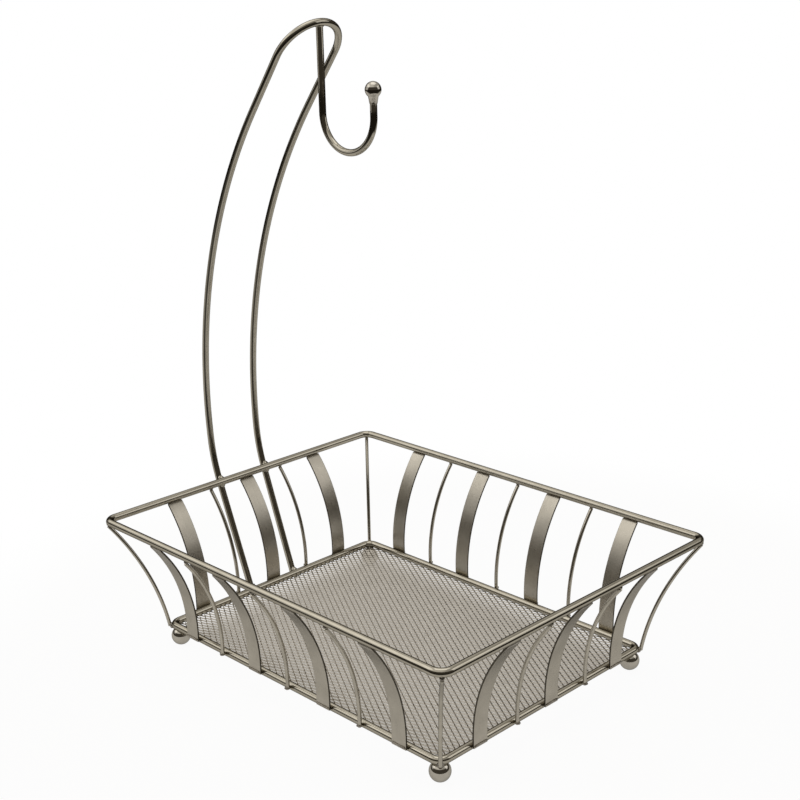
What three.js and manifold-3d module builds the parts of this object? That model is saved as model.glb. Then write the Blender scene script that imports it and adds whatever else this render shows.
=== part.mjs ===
// A flared wire fruit basket on ball feet, with a bowed hanger and a hook for bananas at one end.
// Units are millimetres and +Z is up. X runs along the basket, and the hanger stands at the -X end.
//
// The basket is a welded cage. Flat straps, thin wires and corner wires rise from the outside of the
// base ring, bend outwards and end under the outer side of the rim. A diamond mesh is the floor. The
// hanger is one bent wire: both its legs lie against the outside of the base ring and of the rim.

import manifoldModule from 'manifold-3d';
import * as THREE from 'three';
import { mergeVertices } from 'three/addons/utils/BufferGeometryUtils.js';

// Rim and base ring: rounded rectangles of round wire, measured along the wire's centre line.
const RIM_LENGTH = 300;
const RIM_WIDTH = 232.4;
const RIM_WIRE = 5;
const RIM_CORNER_RADIUS = 7;
const BASE_LENGTH = 245.2;
const BASE_WIDTH = 180.6;
const BASE_WIRE = 4.8;
const BASE_CORNER_RADIUS = 6;

// Wall: its height is from the base ring's centre to the rim's. A piece leans so many degrees outwards
// beside the base ring. Its tail runs on so far below the ring's centre, and its inner face is tucked
// so far in from the rim's outer side.
const WALL_HEIGHT = 73.6;
const STRAP_WIDTH = 11.4;
const STRAP_THICKNESS = 1.2;
const WALL_WIRE = 2.4;
const LONG_SIDE_STRAPS = 4;
const LONG_SIDE_PITCH = 63;
const SHORT_SIDE_STRAPS = 3;
const SHORT_SIDE_PITCH = 61.6;
const SIDE_FOOT_LEAN = -3.5;
const SIDE_TAIL = 0.5;
const SIDE_TUCK = 0.7;
const CORNER_FOOT_LEAN = 10.5;
const CORNER_TAIL = 1.6;
const CORNER_TUCK = 0.2;

// Floor: a sheet of diamond mesh under the base ring, with an edge strip that the ring covers.
const MESH_CELL_LENGTH = 24;
const MESH_CELL_WIDTH = 14.4;
const MESH_STRAND = 1.6;
const MESH_THICKNESS = 1;
const MESH_EDGE_OUTSIDE = 0.8;
const MESH_EDGE_INSIDE = 2.2;

// Feet: balls under the base ring's corners, each with a small flat that it stands on.
const FOOT_DIAMETER = 12.7;
const FOOT_FLAT_DIAMETER = 3.2;
const FOOT_INSET = 2.3;
const FOOT_CLEARANCE = 0.6;

// Hanger: leans are degrees from upright, outwards below and inwards at the top.
const HANGER_WIRE = 4.5;
const HANGER_LEG_CLEARANCE = 8.4;
const HANGER_LOWER_BEND_RADIUS = 109;
const HANGER_STAND_LEAN = 4.1;
const HANGER_SWEEP_RADIUS = 334;
const HANGER_TOP_LEAN = 37.6;
const HANGER_TOP_STRAIGHT = 41.9;
const HANGER_TOP_BEND_RADIUS = 23;

// Hook: a straight drop from the hanger's top bend, a half-circle and a short rise to the ball.
const HOOK_WIRE = 4.3;
const HOOK_SET_BACK = 1.4;
const HOOK_DROP = 50.1;
const HOOK_RADIUS = 22.2;
const HOOK_RISE = 7.5;
const HOOK_BALL_DIAMETER = 9.8;
const HOOK_NECK_FOOT_DIAMETER = 4.8;
const HOOK_NECK_TOP_DIAMETER = 6.2;
const HOOK_NECK_HEIGHT = 4;

// Welded pieces stand this far apart, so that each is a solid of its own.
const WELD_GAP = 0.3;

// Fineness of the round forms.
const HEAVY_WIRE_SIDES = 12;
const THIN_WIRE_SIDES = 8;
const WALL_STEPS = 8;
const CORNER_STEPS = 5;
const HANGER_LOWER_BEND_STEPS = 3;
const HANGER_SWEEP_STEPS = 10;
const HANGER_TOP_BEND_STEPS = 12;
const HOOK_BEND_STEPS = 14;
const BALL_SIDES = 16;
const BALL_STEPS = 9;

const manifold = await manifoldModule();
manifold.setup();
const { Manifold, Mesh } = manifold;

const radians = THREE.MathUtils.degToRad;
const footRadius = FOOT_DIAMETER / 2;
const footCentreHeight = Math.sqrt(footRadius ** 2 - (FOOT_FLAT_DIAMETER / 2) ** 2);
const footCentreDepth = Math.sqrt((footRadius + WELD_GAP + BASE_WIRE / 2) ** 2 - 2 * FOOT_INSET ** 2);
const baseHeight = footCentreHeight + footCentreDepth;

const nickel = (color, roughness) => new THREE.MeshStandardMaterial({ color, roughness, metalness: 1 });
const satinNickel = () => nickel(0x9c9486, 0.32);
const brushedNickel = () => nickel(0x938a7a, 0.45);
const meshNickel = () => nickel(0x857c6d, 0.5);
const polishedNickel = () => nickel(0xa8a195, 0.15);

/** A wire's centre line through given points: each step of a sweep lands on a point. */
class WirePath extends THREE.Curve {
  constructor(points, closed = false) {
    super();
    this.points = points;
    this.closed = closed;
    this.steps = closed ? points.length : points.length - 1;
  }

  corner(index) {
    const count = this.points.length;
    const place = this.closed ? (index + count) % count : THREE.MathUtils.clamp(index, 0, count - 1);
    return this.points[place];
  }

  getPoint(t, target = new THREE.Vector3()) {
    const place = t * this.steps;
    const index = Math.min(Math.floor(place), this.steps - 1);
    return target.lerpVectors(this.corner(index), this.corner(index + 1), place - index);
  }

  getPointAt(u, target) {
    return this.getPoint(u, target);
  }

  getTangentAt(u, target = new THREE.Vector3()) {
    const index = Math.round(u * this.steps);
    const here = this.corner(index);
    const before = here.clone().sub(this.corner(index - 1)).normalize();
    const after = this.corner(index + 1).clone().sub(here).normalize();
    return target.addVectors(before, after).normalize();
  }
}

/** A round section as a polygon with its corners on the circle, one of them on each axis. */
function roundSection(diameter, sides) {
  const corners = Array.from({ length: sides }, (_, index) => {
    const angle = (index * 2 * Math.PI) / sides;
    return new THREE.Vector2(Math.cos(angle), Math.sin(angle)).multiplyScalar(diameter / 2);
  });
  return new THREE.Shape(corners);
}

/** A length of round wire along an open path. */
function wire(points, diameter, sides) {
  const path = new WirePath(points);
  const section = roundSection(diameter, sides);
  return new THREE.ExtrudeGeometry(section, { steps: path.steps, extrudePath: path, bevelEnabled: false });
}

/** A closed ring of round wire in the shape of a rounded rectangle. */
function ring(length, width, cornerRadius, diameter) {
  const points = [];
  for (let corner = 0; corner < 4; corner += 1) {
    const signX = corner === 0 || corner === 3 ? 1 : -1;
    const signY = corner < 2 ? 1 : -1;
    const centreX = signX * (length / 2 - cornerRadius);
    const centreY = signY * (width / 2 - cornerRadius);
    for (let step = 0; step <= CORNER_STEPS; step += 1) {
      const angle = ((corner + step / CORNER_STEPS) * Math.PI) / 2;
      const x = centreX + cornerRadius * Math.cos(angle);
      const y = centreY + cornerRadius * Math.sin(angle);
      points.push(new THREE.Vector3(x, y, 0));
    }
  }
  const path = new WirePath(points, true);
  return new THREE.TubeGeometry(path, path.steps, diameter / 2, HEAVY_WIRE_SIDES, true);
}

const basket = new THREE.Group();

function addMesh(parent, name, geometry, material) {
  const mesh = new THREE.Mesh(geometry, material);
  mesh.name = name;
  parent.add(mesh);
  return mesh;
}

// The cage hangs together around the base ring's centre height.
const cage = new THREE.Group();
cage.position.z = baseHeight;
basket.add(cage);

const baseRing = ring(BASE_LENGTH, BASE_WIDTH, BASE_CORNER_RADIUS, BASE_WIRE);
const rimRing = ring(RIM_LENGTH, RIM_WIDTH, RIM_CORNER_RADIUS, RIM_WIRE);
addMesh(cage, 'base_ring', baseRing, satinNickel());
addMesh(cage, 'rim_ring', rimRing, satinNickel()).position.z = WALL_HEIGHT;

/**
 * The side profile of a wall piece, in a frame whose first axis points outwards from the base ring's
 * centre line and whose second is height. The piece starts beside the base ring with a given lean, and
 * one arc carries it to the rim, whose centre is at the given reach, until its inner edge meets it.
 */
function wallProfile(reach, thickness, footLean, tuck) {
  const insideRim = RIM_WIRE / 2 - tuck;
  const besideBase = BASE_WIRE / 2 + WELD_GAP + thickness / 2;
  const besideRim = insideRim + thickness / 2;
  const across = reach - besideBase;
  const lowLean = radians(footLean);
  const bow = besideRim + across * Math.cos(lowLean) - WALL_HEIGHT * Math.sin(lowLean);
  const radius = (across ** 2 + WALL_HEIGHT ** 2 - besideRim ** 2) / (2 * bow);
  const centre = new THREE.Vector2(besideBase + radius * Math.cos(lowLean), -radius * Math.sin(lowLean));
  const rimLean = Math.atan2(WALL_HEIGHT - centre.y, centre.x - reach);
  const shortOfRim = Math.sqrt((RIM_WIRE / 2 + WELD_GAP) ** 2 - insideRim ** 2);
  const topLean = rimLean - shortOfRim / radius;
  return { centre, radius, lowLean, topLean };
}

/** A point of a wall profile at a lean, off its middle by a distance towards the inside of the basket. */
function profilePoint(profile, lean, inwards = 0) {
  const radius = profile.radius + inwards;
  return new THREE.Vector2(
    profile.centre.x - radius * Math.cos(lean),
    profile.centre.y + radius * Math.sin(lean),
  );
}

/** The line of a wall profile from the end of its straight tail to the rim. */
function profileLine(profile, tail, inwards = 0) {
  const { lowLean, topLean } = profile;
  const downwards = new THREE.Vector2(-Math.sin(lowLean), -Math.cos(lowLean));
  const points = [profilePoint(profile, lowLean, inwards).addScaledVector(downwards, tail)];
  for (let step = 0; step <= WALL_STEPS; step += 1) {
    const lean = THREE.MathUtils.lerp(lowLean, topLean, step / WALL_STEPS);
    points.push(profilePoint(profile, lean, inwards));
  }
  return points;
}

/** A flat strap: its curved side profile extruded across its width. */
function strap(reach) {
  const profile = wallProfile(reach, STRAP_THICKNESS, SIDE_FOOT_LEAN, SIDE_TUCK);
  const outside = profileLine(profile, SIDE_TAIL, -STRAP_THICKNESS / 2);
  const inside = profileLine(profile, SIDE_TAIL, STRAP_THICKNESS / 2);
  const side = new THREE.Shape([...outside, ...inside.reverse()]);
  const geometry = new THREE.ExtrudeGeometry(side, { depth: STRAP_WIDTH, bevelEnabled: false });
  return geometry.translate(0, 0, -STRAP_WIDTH / 2).rotateX(Math.PI / 2);
}

/** A thin wire with a wall profile. */
function wallWire(reach, footLean, tail, tuck) {
  const middle = profileLine(wallProfile(reach, WALL_WIRE, footLean, tuck), tail);
  const points = middle.map((point) => new THREE.Vector3(point.x, 0, point.y));
  return wire(points, WALL_WIRE, THIN_WIRE_SIDES);
}

/** One side of the wall: straps at a pitch, with a thin wire midway between each two. */
function addSide(name, turn, baseDistance, reach, strapCount, pitch) {
  const side = new THREE.Group();
  side.rotation.z = turn;
  cage.add(side);
  const first = (-(strapCount - 1) * pitch) / 2;
  for (let index = 0; index < strapCount; index += 1) {
    const piece = addMesh(side, `${name}_strap_${index + 1}`, strap(reach), brushedNickel());
    piece.position.set(baseDistance, first + index * pitch, 0);
  }
  for (let index = 0; index < strapCount - 1; index += 1) {
    const thinWire = wallWire(reach, SIDE_FOOT_LEAN, SIDE_TAIL, SIDE_TUCK);
    const piece = addMesh(side, `${name}_wire_${index + 1}`, thinWire, satinNickel());
    piece.position.set(baseDistance, first + (index + 0.5) * pitch, 0);
  }
}

const longReach = (RIM_WIDTH - BASE_WIDTH) / 2;
const shortReach = (RIM_LENGTH - BASE_LENGTH) / 2;
addSide('front', -Math.PI / 2, BASE_WIDTH / 2, longReach, LONG_SIDE_STRAPS, LONG_SIDE_PITCH);
addSide('back', Math.PI / 2, BASE_WIDTH / 2, longReach, LONG_SIDE_STRAPS, LONG_SIDE_PITCH);
addSide('hanger_end', Math.PI, BASE_LENGTH / 2, shortReach, SHORT_SIDE_STRAPS, SHORT_SIDE_PITCH);
addSide('far_end', 0, BASE_LENGTH / 2, shortReach, SHORT_SIDE_STRAPS, SHORT_SIDE_PITCH);

/** The middle of a ring's rounded corner, in the quarter where X and Y are positive. */
function cornerMiddle(length, width, cornerRadius) {
  const cutBack = cornerRadius * (1 - Math.SQRT1_2);
  return new THREE.Vector2(length / 2 - cutBack, width / 2 - cutBack);
}

const baseCorner = cornerMiddle(BASE_LENGTH, BASE_WIDTH, BASE_CORNER_RADIUS);
const rimCorner = cornerMiddle(RIM_LENGTH, RIM_WIDTH, RIM_CORNER_RADIUS);
const corners = [
  { name: 'front_hanger', x: -1, y: -1 },
  { name: 'front_far', x: 1, y: -1 },
  { name: 'back_far', x: 1, y: 1 },
  { name: 'back_hanger', x: -1, y: 1 },
];

// Corner wires, each in the upright plane through the middles of the two rings' corners.
for (const { name, x, y } of corners) {
  const from = new THREE.Vector2(x * baseCorner.x, y * baseCorner.y);
  const run = new THREE.Vector2(x * rimCorner.x, y * rimCorner.y).sub(from);
  const cornerWire = wallWire(run.length(), CORNER_FOOT_LEAN, CORNER_TAIL, CORNER_TUCK);
  const piece = addMesh(cage, `corner_wire_${name}`, cornerWire, satinNickel());
  piece.position.set(from.x, from.y, 0);
  piece.rotation.z = run.angle();
}

/** A ball foot: a sphere turned on its axis, with the flat that it stands on. */
function ballFoot() {
  const flatAngle = Math.asin(FOOT_FLAT_DIAMETER / FOOT_DIAMETER);
  const outline = [new THREE.Vector2(0, 0)];
  for (let step = 0; step <= BALL_STEPS; step += 1) {
    const angle = THREE.MathUtils.lerp(flatAngle, Math.PI, step / BALL_STEPS);
    const across = step === BALL_STEPS ? 0 : footRadius * Math.sin(angle);
    outline.push(new THREE.Vector2(across, footCentreHeight - footRadius * Math.cos(angle)));
  }
  return new THREE.LatheGeometry(outline, BALL_SIDES).rotateX(Math.PI / 2);
}

const footPlace = baseCorner.clone().subScalar(FOOT_INSET);
for (const { name, x, y } of corners) {
  const foot = addMesh(basket, `ball_foot_${name}`, ballFoot(), polishedNickel());
  foot.position.set(x * footPlace.x, y * footPlace.y, 0);
}

/** A closed solid for cutting, from a geometry's surface. */
function solidOf(geometry) {
  const surface = new THREE.BufferGeometry();
  surface.setAttribute('position', geometry.getAttribute('position'));
  const joined = mergeVertices(surface);
  const vertProperties = new Float32Array(joined.getAttribute('position').array);
  const triVerts = new Uint32Array(joined.getIndex().array);
  return new Manifold(new Mesh({ numProp: 3, vertProperties, triVerts }));
}

/** The surface of a solid that was cut. */
function surfaceOf(solid) {
  const mesh = solid.getMesh();
  const surface = new THREE.BufferGeometry();
  surface.setAttribute('position', new THREE.BufferAttribute(mesh.vertProperties, 3));
  surface.setIndex(new THREE.BufferAttribute(mesh.triVerts, 1));
  return surface;
}

/** The floor's eight-sided field, drawn in from the ring's centre line and kept clear of the feet. */
function floorField(inset) {
  const undersideDepth = BASE_WIRE / 2 + WELD_GAP + MESH_THICKNESS;
  const footReach = Math.sqrt(footRadius ** 2 - (footCentreDepth - undersideDepth) ** 2);
  const cornerInset = Math.max(inset, 0) + footReach + FOOT_CLEARANCE;
  const halfLength = BASE_LENGTH / 2 - inset;
  const halfWidth = BASE_WIDTH / 2 - inset;
  const diagonal = footPlace.x + footPlace.y - Math.SQRT2 * cornerInset;
  const holds = (x, y) => Math.max(x - halfLength, y - halfWidth, x + y - diagonal) <= 0;
  const quarter = [[halfLength, diagonal - halfLength], [diagonal - halfWidth, halfWidth]];
  const outline = [
    ...quarter,
    ...quarter.map(([x, y]) => [-x, y]).reverse(),
    ...quarter.map(([x, y]) => [-x, -y]),
    ...quarter.map(([x, y]) => [x, -y]).reverse(),
  ];
  return { holds, shape: new THREE.Shape(outline.map(([x, y]) => new THREE.Vector2(x, y))) };
}

/** The diamond mesh: its sheet, with a diamond gap in every cell and part cells along its edges. */
function diamondMesh() {
  const halfLength = MESH_CELL_LENGTH / 2;
  const halfWidth = MESH_CELL_WIDTH / 2;
  const sideDistance = (halfLength * halfWidth) / Math.hypot(halfLength, halfWidth);
  const open = 1 - MESH_STRAND / 2 / sideDistance;
  const sheetField = floorField(-MESH_EDGE_OUTSIDE);
  const gapField = floorField(MESH_EDGE_INSIDE);
  const sheetDepth = { depth: MESH_THICKNESS, bevelEnabled: false };
  const cutDepth = { depth: MESH_THICKNESS * 3, bevelEnabled: false };
  const diamond = new THREE.Shape([
    new THREE.Vector2(halfLength * open, 0),
    new THREE.Vector2(0, halfWidth * open),
    new THREE.Vector2(-halfLength * open, 0),
    new THREE.Vector2(0, -halfWidth * open),
  ]);
  const gapLimit = solidOf(new THREE.ExtrudeGeometry(gapField.shape, cutDepth));
  const columns = Math.ceil(BASE_LENGTH / MESH_CELL_LENGTH);
  const rows = Math.ceil(BASE_WIDTH / MESH_CELL_WIDTH);
  let sheet = solidOf(new THREE.ExtrudeGeometry(sheetField.shape, sheetDepth));
  for (let column = -columns; column <= columns; column += 1) {
    for (let row = -rows; row <= rows; row += 1) {
      const x = column * halfLength;
      const y = row * halfWidth;
      if ((column + row) % 2 === 0 && gapField.holds(Math.abs(x), Math.abs(y))) {
        const gap = new THREE.ExtrudeGeometry(diamond, cutDepth).translate(x, y, 0);
        sheet = sheet.subtract(solidOf(gap).intersect(gapLimit).translate(0, 0, -MESH_THICKNESS));
      }
    }
  }
  return surfaceOf(sheet);
}

const floor = addMesh(cage, 'floor_mesh', diamondMesh(), meshNickel());
floor.position.z = -(BASE_WIRE / 2 + WELD_GAP + MESH_THICKNESS);

/** Adds an arc to a side profile that ends at a lean, turning inwards from the lean it comes with. */
function turnInwards(points, fromLean, toLean, radius, steps) {
  const outwards = (lean) => new THREE.Vector2(Math.cos(lean), -Math.sin(lean));
  const start = points[points.length - 1];
  const centre = start.clone().addScaledVector(outwards(fromLean), -radius);
  for (let step = 1; step <= steps; step += 1) {
    const lean = THREE.MathUtils.lerp(fromLean, toLean, step / steps);
    points.push(centre.clone().addScaledVector(outwards(lean), radius));
  }
}

/** The hanger leg's side profile from its foot to the top bend, in the wall's frame at the hanger's end. */
function hangerLeg() {
  const besideBase = (BASE_WIRE + HANGER_WIRE) / 2 + WELD_GAP;
  const besideRim = (RIM_WIRE + HANGER_WIRE) / 2 + WELD_GAP;
  const between = Math.hypot(shortReach, WALL_HEIGHT);
  const lean = Math.atan2(shortReach, WALL_HEIGHT) + Math.asin((besideRim - besideBase) / between);
  const along = new THREE.Vector2(Math.sin(lean), Math.cos(lean));
  const outwards = new THREE.Vector2(Math.cos(lean), -Math.sin(lean));
  const atBase = outwards.clone().multiplyScalar(besideBase);
  const atRim = new THREE.Vector2(shortReach, WALL_HEIGHT).addScaledVector(outwards, besideRim);
  const points = [atBase.clone().addScaledVector(along, -BASE_WIRE / 2), atRim];
  const standLean = radians(HANGER_STAND_LEAN);
  const topLean = radians(-HANGER_TOP_LEAN);
  turnInwards(points, lean, standLean, HANGER_LOWER_BEND_RADIUS, HANGER_LOWER_BEND_STEPS);
  turnInwards(points, standLean, topLean, HANGER_SWEEP_RADIUS, HANGER_SWEEP_STEPS);
  const upwards = new THREE.Vector2(Math.sin(topLean), Math.cos(topLean));
  points.push(points[points.length - 1].clone().addScaledVector(upwards, HANGER_TOP_STRAIGHT));
  return { points, upwards };
}

const leg = hangerLeg();
const legTop = leg.points[leg.points.length - 1];
const bendTip = legTop.clone().addScaledVector(leg.upwards, HANGER_TOP_BEND_RADIUS);

/** The whole hanger: up one leg, round the top bend and down the other, with the legs drawn in below. */
function hangerArch() {
  const wirePlace = SHORT_SIDE_PITCH / 2 - WALL_WIRE / 2;
  const footHalfGap = wirePlace - HANGER_LEG_CLEARANCE - HANGER_WIRE / 2;
  const before = (index) => leg.points[Math.max(index - 1, 0)];
  const lengths = leg.points.map((point, index) => point.distanceTo(before(index)));
  const total = lengths.reduce((sum, length) => sum + length, 0);
  let climbed = 0;
  const firstLeg = leg.points.map((point, index) => {
    climbed += lengths[index];
    const halfGap = THREE.MathUtils.lerp(footHalfGap, HANGER_TOP_BEND_RADIUS, climbed / total);
    return new THREE.Vector3(point.x, halfGap, point.y);
  });
  const secondLeg = firstLeg.map((point) => new THREE.Vector3(point.x, -point.y, point.z)).reverse();
  const bend = [];
  for (let step = 1; step < HANGER_TOP_BEND_STEPS; step += 1) {
    const angle = (Math.PI * step) / HANGER_TOP_BEND_STEPS;
    const middle = legTop.clone().addScaledVector(leg.upwards, HANGER_TOP_BEND_RADIUS * Math.sin(angle));
    bend.push(new THREE.Vector3(middle.x, HANGER_TOP_BEND_RADIUS * Math.cos(angle), middle.y));
  }
  return wire([...firstLeg, ...bend, ...secondLeg], HANGER_WIRE, HEAVY_WIRE_SIDES);
}

// The hanger and its hook stand in a frame that looks outwards from the basket's hanger end.
const hangerEnd = new THREE.Group();
hangerEnd.position.x = -BASE_LENGTH / 2;
hangerEnd.rotation.z = Math.PI;
cage.add(hangerEnd);
addMesh(hangerEnd, 'hanger_arch', hangerArch(), satinNickel());

// The hook hangs under the top bend's tip, and its half-circle turns in over the basket.
const hookTop = bendTip.y - HANGER_WIRE / 2 - WELD_GAP;
const hookPlace = bendTip.x + HOOK_SET_BACK;
const hookCentre = new THREE.Vector2(hookPlace - HOOK_RADIUS, hookTop - HOOK_DROP);
const hookEnd = new THREE.Vector2(hookCentre.x - HOOK_RADIUS, hookCentre.y + HOOK_RISE);

/** The hook's wire, from under the top bend's tip round to the neck of its ball. */
function hookWire() {
  const points = [new THREE.Vector3(hookPlace, 0, hookTop)];
  for (let step = 0; step <= HOOK_BEND_STEPS; step += 1) {
    const angle = (Math.PI * step) / HOOK_BEND_STEPS;
    const x = hookCentre.x + HOOK_RADIUS * Math.cos(angle);
    points.push(new THREE.Vector3(x, 0, hookCentre.y - HOOK_RADIUS * Math.sin(angle)));
  }
  points.push(new THREE.Vector3(hookEnd.x, 0, hookEnd.y));
  return wire(points, HOOK_WIRE, HEAVY_WIRE_SIDES);
}

/** The ball on the hook's tip: a sphere on a short neck that widens upwards. */
function hookBall() {
  const radius = HOOK_BALL_DIAMETER / 2;
  const neckAngle = Math.asin(HOOK_NECK_TOP_DIAMETER / HOOK_BALL_DIAMETER);
  const centreHeight = HOOK_NECK_HEIGHT + radius * Math.cos(neckAngle);
  const outline = [new THREE.Vector2(0, 0), new THREE.Vector2(HOOK_NECK_FOOT_DIAMETER / 2, 0)];
  for (let step = 0; step <= BALL_STEPS; step += 1) {
    const angle = THREE.MathUtils.lerp(neckAngle, Math.PI, step / BALL_STEPS);
    const across = step === BALL_STEPS ? 0 : radius * Math.sin(angle);
    outline.push(new THREE.Vector2(across, centreHeight - radius * Math.cos(angle)));
  }
  return new THREE.LatheGeometry(outline, BALL_SIDES).rotateX(Math.PI / 2);
}

addMesh(hangerEnd, 'hook_wire', hookWire(), satinNickel());
const tipBall = addMesh(hangerEnd, 'hook_ball', hookBall(), polishedNickel());
tipBall.position.set(hookEnd.x, 0, hookEnd.y + WELD_GAP);

// The origin is on the surface that the feet stand on, under the middle of the object's box.
const middle = new THREE.Box3().setFromObject(basket).getCenter(new THREE.Vector3());
basket.position.set(-middle.x, -middle.y, 0);

export default basket;
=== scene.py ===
# %% [markdown]
# # A wire fruit basket with a banana hanger
#
# The part is a welded basket: two rings of round wire, a wall of flat straps and thin wires, a floor
# of expanded metal, four ball feet, and a bowed wire with a hook for bananas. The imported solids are
# loaded as a fixed frame, and each piece is then rebuilt in its place with round wires, rolled strap
# edges, fine mesh and welds. It could all be modelled by hand in the viewport, but code keeps every
# piece exactly where its solid is.

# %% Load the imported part
import math

import bmesh
import bpy
from mathutils import Matrix, Vector, noise


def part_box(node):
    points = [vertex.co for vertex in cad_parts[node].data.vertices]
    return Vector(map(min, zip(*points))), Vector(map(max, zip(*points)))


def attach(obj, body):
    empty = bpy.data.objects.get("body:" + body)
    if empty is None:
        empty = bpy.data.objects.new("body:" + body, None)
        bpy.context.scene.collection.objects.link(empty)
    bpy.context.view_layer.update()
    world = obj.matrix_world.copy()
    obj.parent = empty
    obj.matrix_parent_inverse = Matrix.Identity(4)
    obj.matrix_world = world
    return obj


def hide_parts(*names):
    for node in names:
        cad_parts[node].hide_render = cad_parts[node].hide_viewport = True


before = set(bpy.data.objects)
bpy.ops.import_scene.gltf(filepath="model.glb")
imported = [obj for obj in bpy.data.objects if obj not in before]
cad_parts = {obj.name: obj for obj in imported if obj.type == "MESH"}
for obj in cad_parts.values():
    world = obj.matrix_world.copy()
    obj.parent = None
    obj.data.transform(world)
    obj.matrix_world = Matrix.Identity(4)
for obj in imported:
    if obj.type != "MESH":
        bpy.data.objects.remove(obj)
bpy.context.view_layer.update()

print("solids loaded:", len(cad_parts))

# %% [markdown]
# ## Sizes from the frame
#
# Most sizes can be read from the solids: a ring's box gives its wire and the length of its sides.
# Only what a box can't tell, such as a bend's radius or a lean, is written down, as a real size.
# Reading the rest keeps the dressed pieces true to the solids if those are made again.

# %% Read the two rings
MM = 0.001
WELD_GAP = 0.3 * MM


def middle_and_size(node):
    """The middle and the size of a solid's box."""
    low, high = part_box(node)
    return (low + high) / 2, high - low


rim_middle, rim_size = middle_and_size("rim_ring")
base_middle, base_size = middle_and_size("base_ring")
RIM_WIRE = rim_size.z
BASE_WIRE = base_size.z
rim_half = (rim_size.xy - Vector((RIM_WIRE, RIM_WIRE))) / 2
base_half = (base_size.xy - Vector((BASE_WIRE, BASE_WIRE))) / 2
wall_height = rim_middle.z - base_middle.z
print("rim, half size in mm:", [round(value / MM, 1) for value in rim_half])
print("wall height in mm:", round(wall_height / MM, 1))

# %% [markdown]
# ## The camera
#
# A lens of about 63 mm on a 36 mm sensor sees the basket from above its near corner. The angles and
# the place were worked out from the corners of the two rings in the photograph. An empty with a Track
# To constraint could aim the camera, but it can't give the slight roll, so the matrix is written
# directly.

# %% Place the camera
CAMERA_AZIMUTH = math.radians(45.64)
CAMERA_ELEVATION = math.radians(17.61)
CAMERA_ROLL = math.radians(-1.36)
CAMERA_FROM_BASE_RING = Vector((586.08, -567.42, 417.85)) * MM
CAMERA_LENS = 63.12
CAMERA_SENSOR = 36

level_right = Vector((math.cos(CAMERA_AZIMUTH), math.sin(CAMERA_AZIMUTH), 0))
camera_back = Vector((
    math.sin(CAMERA_AZIMUTH) * math.cos(CAMERA_ELEVATION),
    -math.cos(CAMERA_AZIMUTH) * math.cos(CAMERA_ELEVATION),
    math.sin(CAMERA_ELEVATION),
))
level_up = camera_back.cross(level_right)
camera_right = math.cos(CAMERA_ROLL) * level_right + math.sin(CAMERA_ROLL) * level_up
camera_up = camera_back.cross(camera_right)
camera_data = bpy.data.cameras.new("camera")
camera_data.lens = CAMERA_LENS
camera_data.sensor_width = CAMERA_SENSOR
camera = bpy.data.objects.new("camera", camera_data)
camera_turn = Matrix((camera_right, camera_up, camera_back)).transposed().to_4x4()
camera.matrix_world = Matrix.Translation(base_middle + CAMERA_FROM_BASE_RING) @ camera_turn
bpy.context.scene.collection.objects.link(camera)
bpy.context.scene.camera = camera
print("camera at", [round(value, 3) for value in camera.location])

# %% [markdown]
# ## Effects that the finishes share
#
# Nickel plating is never one flat colour. It clouds a little where the bath was uneven, and the steel
# below keeps fine lines from drawing or rolling. Both effects are node groups, so that each finish can
# use them at its own scale. An image texture could show them too, but it would need a picture file.

# %% Small tools for node trees
VECTOR_MATH = "ShaderNodeVectorMath"


def link_math(tree, operation, *values, kind="ShaderNodeMath", output=0):
    """A math node of sockets and plain values, as one of its outputs."""
    node = tree.nodes.new(kind)
    node.operation = operation
    for socket, value in zip(node.inputs, values):
        if isinstance(value, bpy.types.NodeSocket):
            tree.links.new(value, socket)
        else:
            socket.default_value = value
    return node.outputs[output]


def map_span(tree, value, from_span, to_span=(0, 1), easing="LINEAR"):
    """A number mapped from one span of values to another."""
    node = tree.nodes.new("ShaderNodeMapRange")
    node.interpolation_type = easing
    for end, from_value, to_value in zip(("Min", "Max"), from_span, to_span):
        node.inputs[f"From {end}"].default_value = from_value
        node.inputs[f"To {end}"].default_value = to_value
    tree.links.new(value, node.inputs["Value"])
    return node.outputs["Result"]


def mix_tones(tree, share, first, second):
    """A colour between two tones, by a share from 0 to 1."""
    tone = tree.nodes.new("ShaderNodeMix")
    tone.data_type = "RGBA"
    tone.inputs["A"].default_value = (*first, 1)
    tone.inputs["B"].default_value = (*second, 1)
    tree.links.new(share, tone.inputs["Factor"])
    return tone.outputs["Result"]


print("tools for node trees ready")

# %% Cloudy plating
CLOUD_DETAIL = 3
CLOUD_SPAN = (0.3, 0.7)


def new_group(name, inputs, outputs):
    """A shader node group with named number inputs and outputs."""
    group = bpy.data.node_groups.new(name, "ShaderNodeTree")
    for label, value in inputs.items():
        socket = group.interface.new_socket(label, in_out="INPUT", socket_type="NodeSocketFloat")
        socket.default_value = value
    for label in outputs:
        group.interface.new_socket(label, in_out="OUTPUT", socket_type="NodeSocketFloat")
    entry = group.nodes.new("NodeGroupInput")
    leave = group.nodes.new("NodeGroupOutput")
    return group, entry, leave


def cloudy_plating():
    """Soft clouds over the surface, from 0 to 1. Size is in millimetres."""
    group, entry, leave = new_group("cloudy_plating", {"Size": 8.0}, ["Clouds"])
    place = group.nodes.new("ShaderNodeTexCoord")
    per_metre = link_math(group, "DIVIDE", 1 / MM, entry.outputs["Size"])
    clouds = group.nodes.new("ShaderNodeTexNoise")
    clouds.inputs["Detail"].default_value = CLOUD_DETAIL
    group.links.new(per_metre, clouds.inputs["Scale"])
    group.links.new(place.outputs["Object"], clouds.inputs["Vector"])
    group.links.new(map_span(group, clouds.outputs["Fac"], CLOUD_SPAN), leave.inputs["Clouds"])
    return group


cloudy = cloudy_plating()
print("group:", cloudy.name)

# %% Fine lines along a piece
LINE_DETAIL = 4
LINE_SPAN = (0.25, 0.75)


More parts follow.
